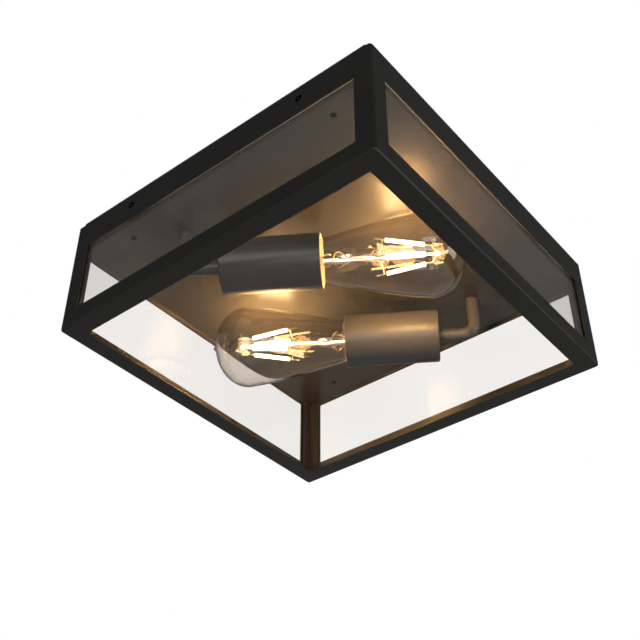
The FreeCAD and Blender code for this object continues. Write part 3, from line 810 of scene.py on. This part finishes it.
@dataclass
class Holder(Lamp):
    """The bent arm, the drawn sleeve and the lampholder inside it."""

    sleeve_radius: float = 20.5 * MM
    sleeve_length: float = 72.5 * MM
    sleeve_wall: float = 0.9 * MM
    sleeve_hole: float = 4.15 * MM
    sleeve_chamfer: float = 0.8 * MM
    sleeve_softness: float = 0.28 * MM
    sleeve_segments: int = 128
    # Where the pale inner wall starts: raw metal with painted bulb light.
    bare_and_lit_from: float = 2 * MM
    bare_and_lit_depth: float = 0.1 * MM
    tube_radius: float = 5 * MM
    spigot_radius: float = 4 * MM
    bore_radius: float = 2.8 * MM
    bend: float = 10 * MM
    column: float = -101.2 * MM
    column_top: float = 33.5 * MM
    spigot_top: float = 9.2 * MM
    spigot_end: float = -58 * MM
    spring_back: float = -41.2 * MM
    spring_length: float = 4 * MM
    spring_radius: float = 2.9 * MM
    spring_turns: float = 4.5
    spring_points: int = 160
    wire_radius: float = 0.3 * MM
    arm_edge: float = 0.2 * MM
    arm_segments: int = 40
    bend_points: int = 17

    def sleeve(self) -> tuple[Shape, Array]:
        """The drawn cup: the closed outline of its wall, eased at its corners, turned about the axis. Its
        inside is pale from a little way above the floor of the cup: raw metal, whose warm tone is painted
        bulb light.

        Returns:
            Points and quads, and 1 for each point of the pale inner wall, raw metal with painted bulb light.
        """
        back, outer, inner = -self.sleeve_length, self.sleeve_radius, self.sleeve_radius - self.sleeve_wall
        outside = [[back, outer - self.sleeve_chamfer], [back + self.sleeve_chamfer, outer], [0, outer]]
        inside = [[0, inner], [back + self.sleeve_wall, inner], [back + self.sleeve_wall, self.sleeve_hole]]
        outline = np.array([[back, self.sleeve_hole], *outside, *inside])
        shape = turned(softened(outline, self.sleeve_softness), self.sleeve_segments)
        reach = np.hypot(shape[0][:, 1], shape[0][:, 2])
        return shape, (reach < inner + self.bare_and_lit_depth) & (shape[0][:, 0] > back + self.bare_and_lit_from)

    def arm(self) -> Shape:
        """The bent tube. Its path runs down the column, round a quarter circle and along the axis; the outer
        wall has the spigots' and the tube's radii in turn, and the bore runs back inside it.

        Returns:
            Points and quads.
        """
        turn = np.linspace(0.0, np.pi / 2, self.bend_points)
        z_top = self.column_top
        down = np.array([z_top + self.spigot_top, z_top, z_top, self.bend])
        bend_x = self.column + self.bend * (1 - np.cos(turn))
        bend_z = self.bend * (1 - np.sin(turn))
        level = np.array([-self.sleeve_length, -self.sleeve_length, self.spigot_end])
        x = np.concatenate([np.full(4, self.column), bend_x, level])
        z = np.concatenate([down, bend_z, np.zeros(3)])
        ahead = np.concatenate([np.full(4, 0.0), turn, np.full(3, np.pi / 2)])
        outer = np.full(len(x), self.tube_radius)
        outer[[0, 1, -1, -2]] = self.spigot_radius
        x, z, ahead = (np.concatenate([v, v[::-1]]) for v in (x, z, ahead))
        radius = np.concatenate([outer, np.full(len(outer), self.bore_radius)])[:, None]
        angle = np.linspace(0.0, 2 * np.pi, self.arm_segments, endpoint=False)
        aside = radius * np.cos(angle)
        points_x = x[:, None] + aside * np.cos(ahead)[:, None]
        points_z = z[:, None] + aside * np.sin(ahead)[:, None]
        points = np.stack([points_x, radius * np.sin(angle), points_z], axis=-1)
        return points.reshape(-1, 3), ring_faces(len(x), len(angle))

    def coil(self) -> Shape:
        """The plunger's spring: a wire carried along the helix (s, r cos a, r sin a), whose side
        directions point away from the axis and along it.

        Returns:
            Points and quads.
        """
        way = np.linspace(0.0, 1.0, self.spring_points)
        angle = 2 * np.pi * self.spring_turns * way
        s = self.spring_back + self.wire_radius + way * (self.spring_length - 2 * self.wire_radius)
        outward = np.stack([0 * way, np.cos(angle), np.sin(angle)], axis=1)
        path = s[:, None] * AXIS + self.spring_radius * outward
        return tube(path, self.wire_radius, sides=(outward, np.broadcast_to(AXIS, outward.shape)))

    def build(self, shop: Workshop) -> None:
        """Make the sleeve, the arm and the spring, and dress the lampholder.

        Args:
            shop: where the finishes come from.
        """
        place, coat = self.place(), shop.finish(Finish.SLEEVE_COAT)
        cup, bare_and_lit = self.sleeve()
        sleeve, arm = self.named("holder_sleeve"), self.named("arm_tube")
        piece(f"drawn_{sleeve}", cup, coat, ROOT_BODY, (sleeve,), place, bare_and_lit=bare_and_lit)
        piece(f"bent_{arm}", self.arm(), coat, ROOT_BODY, (arm,), place, bevel=self.arm_edge)
        shop.dress(Finish.HOLDER, self.named("holder_body"), self.named("holder_base"))
        shop.dress(Finish.BRASS, self.named("holder_screw_shell"), self.named("contact_plunger"))
        steel, spring, body = shop.finish(Finish.ZINC), self.named("contact_spring"), self.named("contact")
        piece(f"coiled_{spring}", self.coil(), steel, body, (spring,), place)


@dataclass
class Bulb(Lamp):
    """A clear pear bulb with a drawn tip: glass, screw cap, stem, wires and filaments.

    Stations are rows in millimetres: a distance along the axis, then a radius or two half widths.
    """

    widest: float = 78 * MM
    round_end: float = 103.8 * MM
    radius: float = 32 * MM
    neck_radius: float = 11.7 * MM
    neck_end: float = -20.5 * MM
    neck_front: float = -12.5 * MM
    wall: float = 0.8 * MM
    side: Stations = ((-9.5, 12.5), (-3, 15.1), (20, 21), (55, 28.8), (78, 32))
    tip_radius: float = 2 * MM
    tip_rise: float = 2.4 * MM
    tip_hollow_radius: float = 1.4 * MM
    tip_hollow_rise: float = 0.9 * MM
    glass_points: int = 60
    glass_segments: int = 144
    cap_front: float = -9.5 * MM
    cap_back: float = -29 * MM
    cap_crest: float = 13.1 * MM
    cap_sheet: float = 0.35 * MM
    cap_lip: float = 11.5 * MM
    cap_lip_rise: float = 0.6 * MM
    cap_hole: float = 12.52 * MM
    cap_rows: int = 110
    cap_segments: int = 96
    thread_depth: float = 0.9 * MM
    thread_front: float = 1.6 * MM
    thread_back: float = 1.4 * MM
    front_run_out: float = 2 * MM
    back_run_out: float = 1.5 * MM
    pitch: float = 3.62 * MM
    stem_stations: Stations = (
        (-17, 10.6, 10.6), (-14, 7.6, 7.6), (-10, 4.6, 4.6), (-5, 3.5, 3.5), (6, 3.2, 3.2),
        (12, 4.6, 2.4), (17, 5.4, 1.9), (21, 5.2, 1.8), (22, 4.4, 1.4),
    )
    stem_hollow_stations: int = 6
    stem_wall: float = 1 * MM
    stem_points: int = 60
    stem_hollow_points: int = 40
    stem_segments: int = 48
    filaments: int = 4
    filament_start: float = 46 * MM
    filament_length: float = 28 * MM
    filament_radius: float = 1.35 * MM
    filament_points: int = 12
    filament_segments: int = 14
    base_spread: float = 12 * MM
    tip_spread: float = 7 * MM
    turn: float = 38.0
    hub: float = 83 * MM
    hub_radius: float = 1.9 * MM
    hub_points: int = 19
    hub_segments: int = 24
    rod_start: float = 1 * MM
    rod_end: float = 82.5 * MM
    rod_radius: float = 1.1 * MM
    rod_segments: int = 20
    foot_stations: Stations = ((20, 1.2), (33, 2.2), (41.5, 4.4), (44, 12.6))
    tip_stations: Stations = ((82, 0.8), (80.5, 3.4), (78, 6.8))
    wire_radius: float = 0.4 * MM
    wire_points: int = 28
    wire_segments: int = 10
    leg_radius: float = 0.5 * MM
    leg_points: int = 8
    base_leg: float = 8 * MM
    tip_leg: float = 7 * MM
    lead_start: float = -3 * MM
    lead_end: float = 20 * MM
    lead_gap: float = 2.8 * MM
    lead_swell: float = 6.2 * MM
    lead_taper: float = 0.45
    lead_turn: float = 0.5
    lead_swing: float = 1.1
    lead_points: int = 48

    def glass_line(self, inset: float, tip_radius: float, tip_rise: float) -> Array:
        """One surface of the glass from the neck's end to the tip, as (s, radius) points.

        A straight neck, then a smooth line through the side's points, then a quarter ellipse; a small bell
        exp(-(r / tip_radius)^2) times tip_rise is added to s near the axis for the drawn tip.

        Args:
            inset: how far the surface lies inside the glass's outer face.
            tip_radius: width of the drawn tip.
            tip_rise: how far the drawn tip stands out.

        Returns:
            The points.
        """
        neck = np.array([[self.neck_end, self.neck_radius], [self.neck_front, self.neck_radius]])
        side = smooth_path(np.array(self.side) * MM, self.glass_points)
        turn = np.linspace(np.pi / 2, 0.0, self.glass_points)[1:]
        depth = self.round_end - self.widest
        end = np.stack([self.widest + depth * np.cos(turn), self.radius * np.sin(turn)], axis=1)
        line = np.vstack([neck, side, end])
        run = np.gradient(line, axis=0)
        run /= np.maximum(np.linalg.norm(run, axis=1, keepdims=True), 1e-12)
        line = line + inset * np.stack([run[:, 1], -run[:, 0]], axis=1)
        line[:, 1] = np.maximum(line[:, 1], 0.0)
        line[-1, 1] = 0.0
        line[0, 0] = self.neck_end
        bell = np.exp(-((line[:, 1] / tip_radius) ** 2)) * tip_rise * (line[:, 0] > self.widest)
        line[:, 0] += bell
        return line

    def envelope(self) -> Shape:
        """The glass: its outer line out to the tip and its inner line back, turned about the axis.

        Returns:
            Points and quads.
        """
        outer = self.glass_line(0.0, self.tip_radius, self.tip_rise)
        inner = self.glass_line(self.wall, self.tip_hollow_radius, self.tip_hollow_rise)
        return turned(np.vstack([outer, inner[::-1]]), self.glass_segments)

    def cap(self) -> Shape:
        """The drawn screw cap, whose sheet follows a right-handed thread.

        At a distance s and an angle a its outer radius is crest - w d (1 - cos(2 pi s / pitch - a)) / 2,
        where d is the thread's depth and w fades it out at both ends. The inner face lies a sheet deeper.

        Returns:
            Points and quads.
        """
        angle = np.linspace(0.0, 2 * np.pi, self.cap_segments, endpoint=False)
        wall_back = self.cap_back + self.cap_lip_rise
        s = np.linspace(wall_back, self.cap_front, self.cap_rows)[:, None] + 0 * angle
        to_front = (self.cap_front - self.thread_front - s) / self.front_run_out
        to_back = (s - self.cap_back - self.thread_back) / self.back_run_out
        dip = self.thread_depth / 2 * (1 - np.cos(2 * np.pi * s / self.pitch - angle))
        outer = self.cap_crest - np.clip(np.minimum(to_front, to_back), 0.0, 1.0) * dip
        back = [(self.cap_back, self.cap_lip - self.cap_sheet), (self.cap_back, self.cap_lip)]
        front = [(self.cap_front, self.cap_hole), (self.cap_front - self.cap_sheet, self.cap_hole)]
        rims = [np.array(rim)[:, :, None] + 0 * angle for rim in (back, front)]
        inside = slice(-4, None, -1)
        along = np.vstack([rims[0][:, 0], s, rims[1][:, 0], s[inside]])
        radius = np.vstack([rims[0][:, 1], outer, rims[1][:, 1], outer[inside] - self.cap_sheet])
        points = np.stack([along, radius * np.cos(angle), radius * np.sin(angle)], axis=-1)
        return points.reshape(-1, 3), ring_faces(len(along), len(angle))

    def spokes(self) -> Array:
        """Unit vectors square to the axis, one for each filament."""
        angle = np.radians(360.0 / self.filaments * np.arange(self.filaments) + self.turn)
        return np.stack([0 * angle, np.cos(angle), np.sin(angle)], axis=1)

    def filament_ends(self) -> tuple[Array, Array]:
        """Both ends of every filament, which leans in towards the tip.

        Returns:
            The ends near the base, and the ends near the tip.
        """
        run = math.sqrt(self.filament_length**2 - (self.base_spread - self.tip_spread) ** 2)
        base = AXIS * self.filament_start + self.spokes() * self.base_spread
        return base, AXIS * (self.filament_start + run) + self.spokes() * self.tip_spread

    def leg_lines(self) -> list[Array]:
        """Straight legs that run on past both ends of every filament, in line with it.

        Returns:
            Each leg's centre line.
        """
        base, tip = self.filament_ends()
        along = (tip - base) / self.filament_length
        back = [np.linspace(b - a * self.base_leg, b, self.leg_points) for a, b in zip(along, base)]
        ahead = [np.linspace(t, t + a * self.tip_leg, self.leg_points) for a, t in zip(along, tip)]
        return back + ahead

    def support_lines(self) -> list[Array]:
        """Wires from the pinch that bend outwards to every filament's foot, and short ones from the hub to
        every filament's end. Each is a smooth line through its stations (s, r), which lie at s X + r spoke.

        Returns:
            Each wire's centre line.
        """
        lines = []
        for spoke in self.spokes():
            for stations in (np.array(self.foot_stations) * MM, np.array(self.tip_stations) * MM):
                places = stations[:, :1] * AXIS + stations[:, 1:] * spoke
                lines.append(smooth_path(places, self.wire_points))
        return lines

    def lead_lines(self) -> list[Array]:
        """Two slack leads in the neck, opposite each other. They wind out and in again beside the stem.

        At a share w of the way the spread is gap + swell sin(pi w)^2 (1 - taper w), and the angle round the
        axis is turn + swing sin(2 pi w).

        Returns:
            Each lead's centre line.
        """
        s = np.linspace(self.lead_start, self.lead_end, self.lead_points)
        way = (s - s[0]) / (s[-1] - s[0])
        spread = self.lead_gap + self.lead_swell * np.sin(np.pi * way) ** 2 * (1.0 - self.lead_taper * way)
        angle = self.lead_turn + self.lead_swing * np.sin(2 * np.pi * way)
        first = np.stack([s, spread * np.cos(angle), spread * np.sin(angle)], axis=1)
        return [first, first * [1.0, -1.0, -1.0]]

    def stem(self) -> Shape:
        """The glass mount: a flared foot, a tube and a flattened pinch. Its rings are ellipses
        (s, w cos a, t sin a) whose half width w and half thickness t change along the axis.

        Returns:
            Points and quads.
        """
        rows = np.array(self.stem_stations) * MM
        outer = smooth_path(rows, self.stem_points)
        hollow = rows[: self.stem_hollow_stations] - self.stem_wall * (1 - AXIS)
        inner = smooth_path(hollow, self.stem_hollow_points)
        line = np.vstack([outer, outer[-1:] * AXIS, inner[-1:] * AXIS, inner[::-1]])
        angle = np.linspace(0.0, 2 * np.pi, self.stem_segments, endpoint=False)
        half_width, half_thickness = line[:, 1:2] * np.cos(angle), line[:, 2:] * np.sin(angle)
        points = np.stack([line[:, :1] + 0 * angle, half_width, half_thickness], axis=-1)
        return points.reshape(-1, 3), ring_faces(len(line), len(angle))

    def mount(self) -> Shape:
        """The centre rod with the hub's bead: the half circle (s - r cos t, r sin t) turned about the axis.

        Returns:
            Points and quads.
        """
        rod_line = np.linspace(AXIS * self.rod_start, AXIS * self.rod_end, 3)
        t = np.linspace(0.0, np.pi, self.hub_points)
        line = np.stack([self.hub - self.hub_radius * np.cos(t), self.hub_radius * np.sin(t)], axis=1)
        return joined([tube(rod_line, self.rod_radius, self.rod_segments), turned(line, self.hub_segments)])

    def build(self, shop: Workshop) -> None:
        """Make the glass, the cap and what is in them, and dress the cap's end.

        Args:
            shop: where the finishes come from.
        """
        place, body = self.place(), f"bulb_{self.number}"
        node = self.named("bulb_envelope")
        piece(f"blown_{node}", self.envelope(), shop.finish(Finish.BULB), body, (node,), place)
        node = self.named("bulb_stem")
        piece(f"pinched_{node}", self.stem(), shop.finish(Finish.STEM), body, (node,), place)
        node = self.named("bulb_cap")
        piece(f"threaded_{node}", self.cap(), shop.finish(Finish.NICKEL), body, (node,), place)
        shop.dress(Finish.NICKEL, self.named("bulb_eyelet"))
        shop.dress(Finish.INSULATOR, self.named("bulb_insulator"))
        base, tip = self.filament_ends()
        lines = [np.linspace(a, b, self.filament_points) for a, b in zip(base, tip)]
        rods = [tube(line, self.filament_radius, self.filament_segments) for line in lines]
        node = self.named("bulb_filaments")
        piece(f"lit_{node}", joined(rods), shop.finish(Finish.FILAMENT), body, (node,), place)
        thin = self.support_lines() + self.lead_lines()
        wires = [tube(line, self.wire_radius, self.wire_segments) for line in thin]
        wires += [tube(line, self.leg_radius, self.wire_segments) for line in self.leg_lines()]
        node = self.named("bulb_supports")
        piece(f"bent_{node}", joined(wires), shop.finish(Finish.WIRE), body, (node,), place)
        mount = self.named("centre_rod")
        piece(mount, self.mount(), shop.finish(Finish.BEAD), body, (), place)


# ---------------------------------------------------------------- setting
class LightKind(Enum):
    """The kinds of light in the setting."""

    SHEET = "AREA"
    BALL = "POINT"


@dataclass(frozen=True)
class Light:
    """A light: its power in watts, and its width or its radius in metres."""

    name: str
    kind: LightKind
    power: float
    colour: Rgb
    place: Point
    size: float


@dataclass
class Setting:
    """The camera, the light, the pale floor and the white surroundings."""

    eye: Point = (-0.4896, -0.3811, -0.5636)
    look: Point = (0.61119, 0.49232, 0.61973)
    focal_px: float = 1061.13
    centre_px: tuple[float, float] = (321.15, 318.25)
    picture_px: float = 640.0
    sensor: float = 36.0
    nearest: float = 10 * MM
    aim: Point = (0.0, 0.0, -0.05)
    key: Light = Light("key", LightKind.SHEET, 16.0, (1.0, 0.98, 0.95), (0.7, -1.9, -0.1), 1.2)
    fill: Light = Light("fill", LightKind.SHEET, 15.0, (1.0, 0.985, 0.96), (-1.4, -0.9, -0.5), 1.1)
    bulb_power: float = 0.68
    bulb_colour: Rgb = (1.0, 0.56, 0.19)
    bulb_spots: tuple[float, ...] = (52 * MM, 68 * MM)
    bulb_spot_radius: float = 8 * MM
    floor_half: float = 4.0
    floor_z: float = -1.3
    floor_tones: tuple[Rgb, Rgb] = ((0.78, 0.78, 0.77), (0.82, 0.82, 0.81))
    shade_board_tone: Rgb = (0.02, 0.02, 0.02)
    matt: float = 0.9
    board_half: float = 132 * MM
    board_z: float = -0.2 * MM
    gloss: float = 0.75
    gloss_above: float = 0.11
    gloss_rise: tuple[float, float] = (-0.02, 0.32)
    ambient: float = 0.34
    dimming: float = 0.82

    def camera(self) -> None:
        """A camera at the photograph's place: its axes are the look direction and what lies across it."""
        data = bpy.data.cameras.new("camera")
        data.sensor_width = self.sensor
        data.lens = self.sensor * self.focal_px / self.picture_px
        data.shift_x = (self.picture_px / 2 - self.centre_px[0]) / self.picture_px
        data.shift_y = (self.centre_px[1] - self.picture_px / 2) / self.picture_px
        data.clip_start = self.nearest
        look = np.array(self.look)
        right = np.cross(look, [0.0, 0.0, 1.0])
        right /= np.linalg.norm(right)
        rise = np.cross(right, look)
        axes = np.eye(4)
        axes[:3, 0], axes[:3, 1], axes[:3, 2], axes[:3, 3] = right, rise, -look, self.eye
        made = bpy.data.objects.new("camera", data)
        made.matrix_world = Matrix(axes.tolist())
        bpy.context.scene.collection.objects.link(made)
        bpy.context.scene.camera = made

    def surroundings(self) -> None:
        """A world that is white behind the lantern, a dim room in its gloss and an even light on its sides.

        What passes a pane after a bounce is dimmed, because lamps already shine straight through panes.
        """
        world = bpy.data.worlds.new("studio")
        bpy.context.scene.world = world
        world.use_nodes = True
        sheet = NodeSheet(world.node_tree)
        path = sheet.add("ShaderNodeLightPath")
        direction = sheet.add("ShaderNodeSeparateXYZ")
        sheet.join(sheet.add("ShaderNodeTexCoord").outputs["Generated"], direction.inputs["Vector"])
        room = sheet.spread(direction.outputs["Z"], *self.gloss_rise, self.gloss, self.gloss_above)
        bounced = sheet.add("ShaderNodeMath", operation="MULTIPLY_ADD", use_clamp=True)
        sheet.join(path.outputs["Glossy Depth"], bounced.inputs[0])
        bounced.inputs[1].default_value = self.dimming
        sheet.join(path.outputs["Diffuse Depth"], bounced.inputs[2])
        behind = sheet.spread(bounced.outputs["Value"], 0.0, 1.0, 1.0, 0.0)
        level = sheet.choose(path.outputs["Is Glossy Ray"], self.ambient, room)
        level = sheet.choose(path.outputs["Is Transmission Ray"], level, behind)
        level = sheet.choose(path.outputs["Is Camera Ray"], level, 1.0)
        back = world.node_tree.nodes["Background"]
        back.inputs["Color"].default_value = (1.0, 1.0, 1.0, 1.0)
        sheet.join(level, back.inputs["Strength"])

    def shine(self, light: Light) -> None:
        """Place a light. A sheet faces the lantern, and a ball is not seen itself.

        Args:
            light: what is placed.
        """
        data = bpy.data.lights.new(light.name, light.kind.value)
        data.energy = light.power
        data.color = light.colour
        made = bpy.data.objects.new(light.name, data)
        made.location = light.place
        if light.kind is LightKind.SHEET:
            data.size = light.size
            made.rotation_euler = (Vector(self.aim) - made.location).to_track_quat("-Z", "Y").to_euler()
        else:
            data.shadow_soft_size = light.size
            made.visible_camera = made.visible_transmission = False
            self.unseen_in_sharp_gloss(data)
        bpy.context.scene.collection.objects.link(made)

    def unseen_in_sharp_gloss(self, data: bpy.types.Light) -> None:
        """Keep a light's round shape out of clear glass, where only the filaments show.

        Args:
            data: the light.
        """
        data.use_nodes = True
        sheet = NodeSheet(data.node_tree)
        sharp = sheet.add("ShaderNodeLightPath").outputs["Is Singular Ray"]
        emission = data.node_tree.nodes["Emission"]
        unsharp = sheet.spread(sharp, 0.0, 1.0, 1.0, 0.0)
        sheet.join(unsharp, emission.inputs["Strength"])

    def floor(self) -> None:
        """A wide pale floor far below."""
        made, sheet, shader = new_material("pale_floor")
        where = sheet.add("ShaderNodeTexCoord").outputs["Object"]
        tone = sheet.spread(sheet.noise(where, 3.0, 2.0), 0.3, 0.7)
        sheet.join(sheet.blend(tone, *self.floor_tones), shader.inputs["Base Color"])
        shader.inputs["Roughness"].default_value = self.matt
        self.stage_sheet("floor", self.floor_half, self.floor_z, made)

    def board(self) -> None:
        """A dark sheet behind the tray's holes: painted shade for the unlit space above the tray. Only what
        looks up from below meets it.
        """
        made, sheet, shader = new_material("shade_board")
        # Nearly black: painted shade where the space above the tray lies unlit.
        shader.inputs["Base Color"].default_value = (*self.shade_board_tone, 1.0)
        shader.inputs["Roughness"].default_value = self.matt
        clear = sheet.add("ShaderNodeBsdfTransparent")
        path = sheet.add("ShaderNodeLightPath")
        looking = sheet.add("ShaderNodeMath", operation="ADD", use_clamp=True)
        sheet.join(path.outputs["Is Camera Ray"], looking.inputs[0])
        sheet.join(path.outputs["Is Transmission Ray"], looking.inputs[1])
        shown = sheet.add("ShaderNodeMath", operation="MULTIPLY")
        sheet.join(looking.outputs["Value"], shown.inputs[0])
        sheet.join(sheet.add("ShaderNodeNewGeometry").outputs["Backfacing"], shown.inputs[1])
        sheet.surface(shown.outputs["Value"], clear, shader)
        self.stage_sheet("shade_board", self.board_half, self.board_z, made)

    def stage_sheet(self, name: str, half: float, height: float, material: bpy.types.Material) -> None:
        """A flat square of the stage, facing up.

        Args:
            name: its name.
            half: half its side.
            height: its height.
            material: its finish.
        """
        corners = [(x * half, y * half, height) for x, y in ((-1, -1), (1, -1), (1, 1), (-1, 1))]
        mesh = bpy.data.meshes.new(name)
        mesh.from_pydata(corners, [], [(0, 1, 2, 3)])
        mesh.materials.append(material)
        made = bpy.data.objects.new(name, mesh)
        bpy.context.scene.collection.objects.link(made)

    def build(self) -> None:
        """Set everything up."""
        bpy.context.scene.view_settings.view_transform = "Standard"
        self.camera()
        self.surroundings()
        self.floor()
        self.board()
        self.shine(self.key)
        self.shine(self.fill)
        ball = (LightKind.BALL, self.bulb_power, self.bulb_colour)
        for number in LAMP_NUMBERS:
            spots = Lamp(number).place().apply(np.outer(self.bulb_spots, AXIS))
            for step, spot in enumerate(spots.tolist()):
                self.shine(Light(f"bulb_light_{number}_{step}", *ball, spot, self.bulb_spot_radius))


def main() -> None:
    """Build the lantern in order, then the setting."""
    shop = Workshop()
    Cage().build(shop)
    Tray().build(shop)
    Glazing().build(shop)
    for number in LAMP_NUMBERS:
        Holder(number).build(shop)
        Bulb(number).build(shop)
    Setting().build()


if __name__ == "__main__":
    main()
